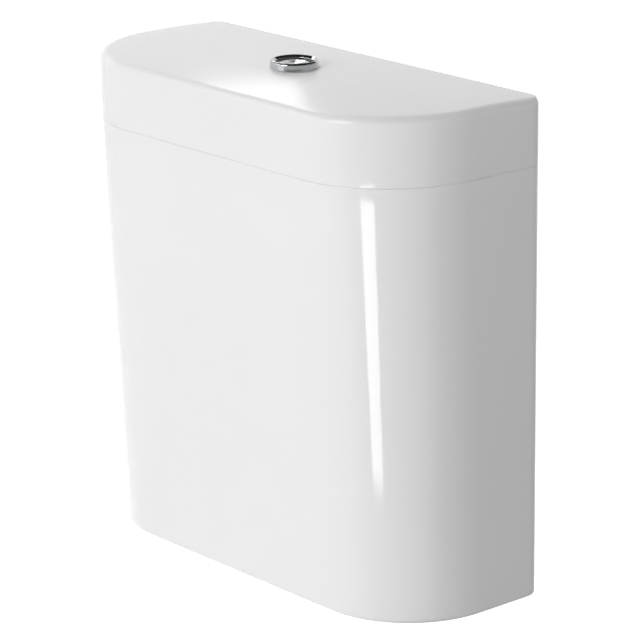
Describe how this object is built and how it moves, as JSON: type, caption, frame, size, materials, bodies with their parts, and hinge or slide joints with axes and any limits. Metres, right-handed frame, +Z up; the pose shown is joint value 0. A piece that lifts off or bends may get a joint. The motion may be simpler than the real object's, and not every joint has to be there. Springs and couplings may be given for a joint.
{
  "type": "toilet cistern",
  "caption": "White glazed ceramic toilet cistern with a deep lift-off lid and a round chrome dual-flush button; rods and rockers lift the flush valve and a float lever works the fill valve.",
  "frame": {"origin": "on the outlet's axis, in the plane of the tank's foot", "axes": "+X to the right seen from the front, +Y to the wall, +Z up"},
  "size_m": [0.395, 0.165, 0.4335],
  "materials": {
    "ceramic": "gloss",
    "chrome": "polished",
    "white_plastic": "satin",
    "grey_plastic": "matte",
    "blue_plastic": "satin",
    "green_plastic": "satin",
    "rubber": "matte",
    "steel": "brushed"
  },
  "bodies": {
    "cistern": {"tank": "ceramic", "valve_base": "white_plastic", "base_seal": "rubber", "valve_backnut": "white_plastic", "coupling_gasket": "rubber", "valve_cage": "white_plastic", "valve_head": "grey_plastic", "rocker_pins": "steel", "fill_valve_body": "white_plastic", "diaphragm": "rubber", "fill_valve_cap": "grey_plastic", "inlet_washer": "rubber", "inlet_nut": "white_plastic", "inlet_strainer": "green_plastic", "lever_pin": "steel", "coupling_bolts": "steel", "bolt_rubbers": "rubber", "bolt_head_washers": "steel", "bolt_under_washers": "steel", "bolt_nuts": "steel"},
    "lid": {"lid": "ceramic", "button_bezel": "chrome", "button_housing": "grey_plastic", "button_nut": "grey_plastic", "full_button_spring": "steel", "half_button_spring": "steel"},
    "full_button": {"full_button": "chrome", "full_push_rod": "white_plastic"},
    "half_button": {"half_button": "chrome", "half_push_rod": "white_plastic"},
    "full_pusher": {"full_pusher": "white_plastic"},
    "half_pusher": {"half_pusher": "white_plastic"},
    "full_rocker": {"full_rocker": "blue_plastic"},
    "half_rocker": {"half_rocker": "green_plastic"},
    "half_sleeve": {"half_sleeve": "green_plastic"},
    "lift_tube": {"lift_tube": "white_plastic", "lift_collar": "blue_plastic", "valve_seal": "rubber", "flush_float": "blue_plastic"},
    "float": {"float_cup": "white_plastic", "float_rod": "grey_plastic", "level_clip": "blue_plastic"},
    "float_lever": {"float_lever": "blue_plastic"}
  },
  "joints": [
    {"name": "lid_lift", "type": "slide", "parent": "cistern", "child": "lid", "axis": [0, 0, 1], "range_m": [0, 0.12]},
    {"name": "full_press", "type": "slide", "parent": "lid", "child": "full_button", "axis": [0, 0, -1], "range_m": [0, 0.008], "stiffness_N_per_m": 250, "springref_m": -0.008, "deforming": ["full_button_spring"]},
    {"name": "half_press", "type": "slide", "parent": "lid", "child": "half_button", "axis": [0, 0, -1], "range_m": [0, 0.008], "stiffness_N_per_m": 250, "springref_m": -0.008, "deforming": ["half_button_spring"]},
    {"name": "full_pusher_slide", "type": "slide", "parent": "cistern", "child": "full_pusher", "axis": [0, 0, -1], "range_m": [0, 0.008]},
    {"name": "half_pusher_slide", "type": "slide", "parent": "cistern", "child": "half_pusher", "axis": [0, 0, -1], "range_m": [0, 0.008]},
    {"name": "full_rocker_turn", "type": "hinge", "parent": "cistern", "child": "full_rocker", "pos_m": [0.035, 0, 0.275], "axis": [0, 1, 0], "range_deg": [0, 38.95]},
    {"name": "half_rocker_turn", "type": "hinge", "parent": "cistern", "child": "half_rocker", "pos_m": [-0.029, 0, 0.2592], "axis": [0, -1, 0], "range_deg": [0, 38.95]},
    {"name": "half_sleeve_lift", "type": "slide", "parent": "cistern", "child": "half_sleeve", "axis": [0, 0, 1], "range_m": [0, 0.008]},
    {"name": "valve_lift", "type": "slide", "parent": "half_sleeve", "child": "lift_tube", "axis": [0, 0, 1], "range_m": [0, 0.012]},
    {"name": "float_rise", "type": "slide", "parent": "cistern", "child": "float", "axis": [0, 0, 1], "range_m": [0, 0.01]},
    {"name": "float_lever_turn", "type": "hinge", "parent": "cistern", "child": "float_lever", "pos_m": [-0.139, 0.02, 0.2945], "axis": [0, -1, 0], "range_deg": [0, 24.06]}
  ],
  "couplings": [
    {"joint": "full_pusher_slide", "follows": "full_press", "ratio": 1},
    {"joint": "full_rocker_turn", "follows": "full_press", "rad_per_m": 84.959},
    {"joint": "valve_lift", "follows": "full_press", "ratio": 1.5},
    {"joint": "half_pusher_slide", "follows": "half_press", "ratio": 1},
    {"joint": "half_rocker_turn", "follows": "half_press", "rad_per_m": 84.959},
    {"joint": "half_sleeve_lift", "follows": "half_press", "ratio": 1},
    {"joint": "float_lever_turn", "follows": "float_rise", "rad_per_m": 41.974}
  ]
}
